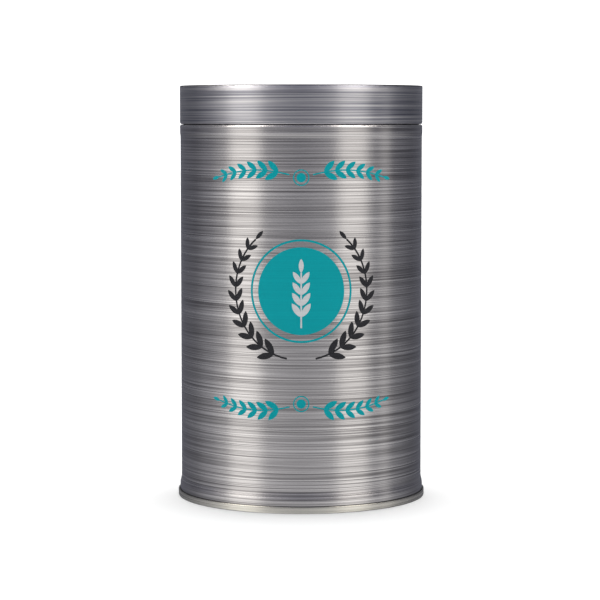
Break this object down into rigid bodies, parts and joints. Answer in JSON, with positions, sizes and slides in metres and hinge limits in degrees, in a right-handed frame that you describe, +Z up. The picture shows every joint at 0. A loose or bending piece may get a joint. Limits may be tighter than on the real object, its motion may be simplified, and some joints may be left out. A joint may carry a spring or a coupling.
{
  "type": "food canister",
  "caption": "Tall round tinplate kitchen canister with a double-seamed bottom, a necked mouth and a lift-off slip lid, for dry food.",
  "frame": {"origin": "centre of the base, on the surface that the canister stands on", "axes": "+Z up along the canister's axis, -Y towards the front, the side seam at +Y"},
  "size_m": [0.1123, 0.1122, 0.186],
  "materials": {
    "printed_tinplate": "brushed-look print under clear varnish",
    "bare_tinplate": "bright rolled tin",
    "sealing_compound": "matt"
  },
  "bodies": {
    "canister": {"body_wall": "printed_tinplate", "bottom_end": "bare_tinplate", "seam_compound": "sealing_compound"},
    "lid": {"lid": "printed_tinplate"}
  },
  "joints": [
    {"name": "lid_lift", "type": "slide", "parent": "canister", "child": "lid", "axis": [0, 0, 1], "range_m": [0, 0.12]}
  ]
}
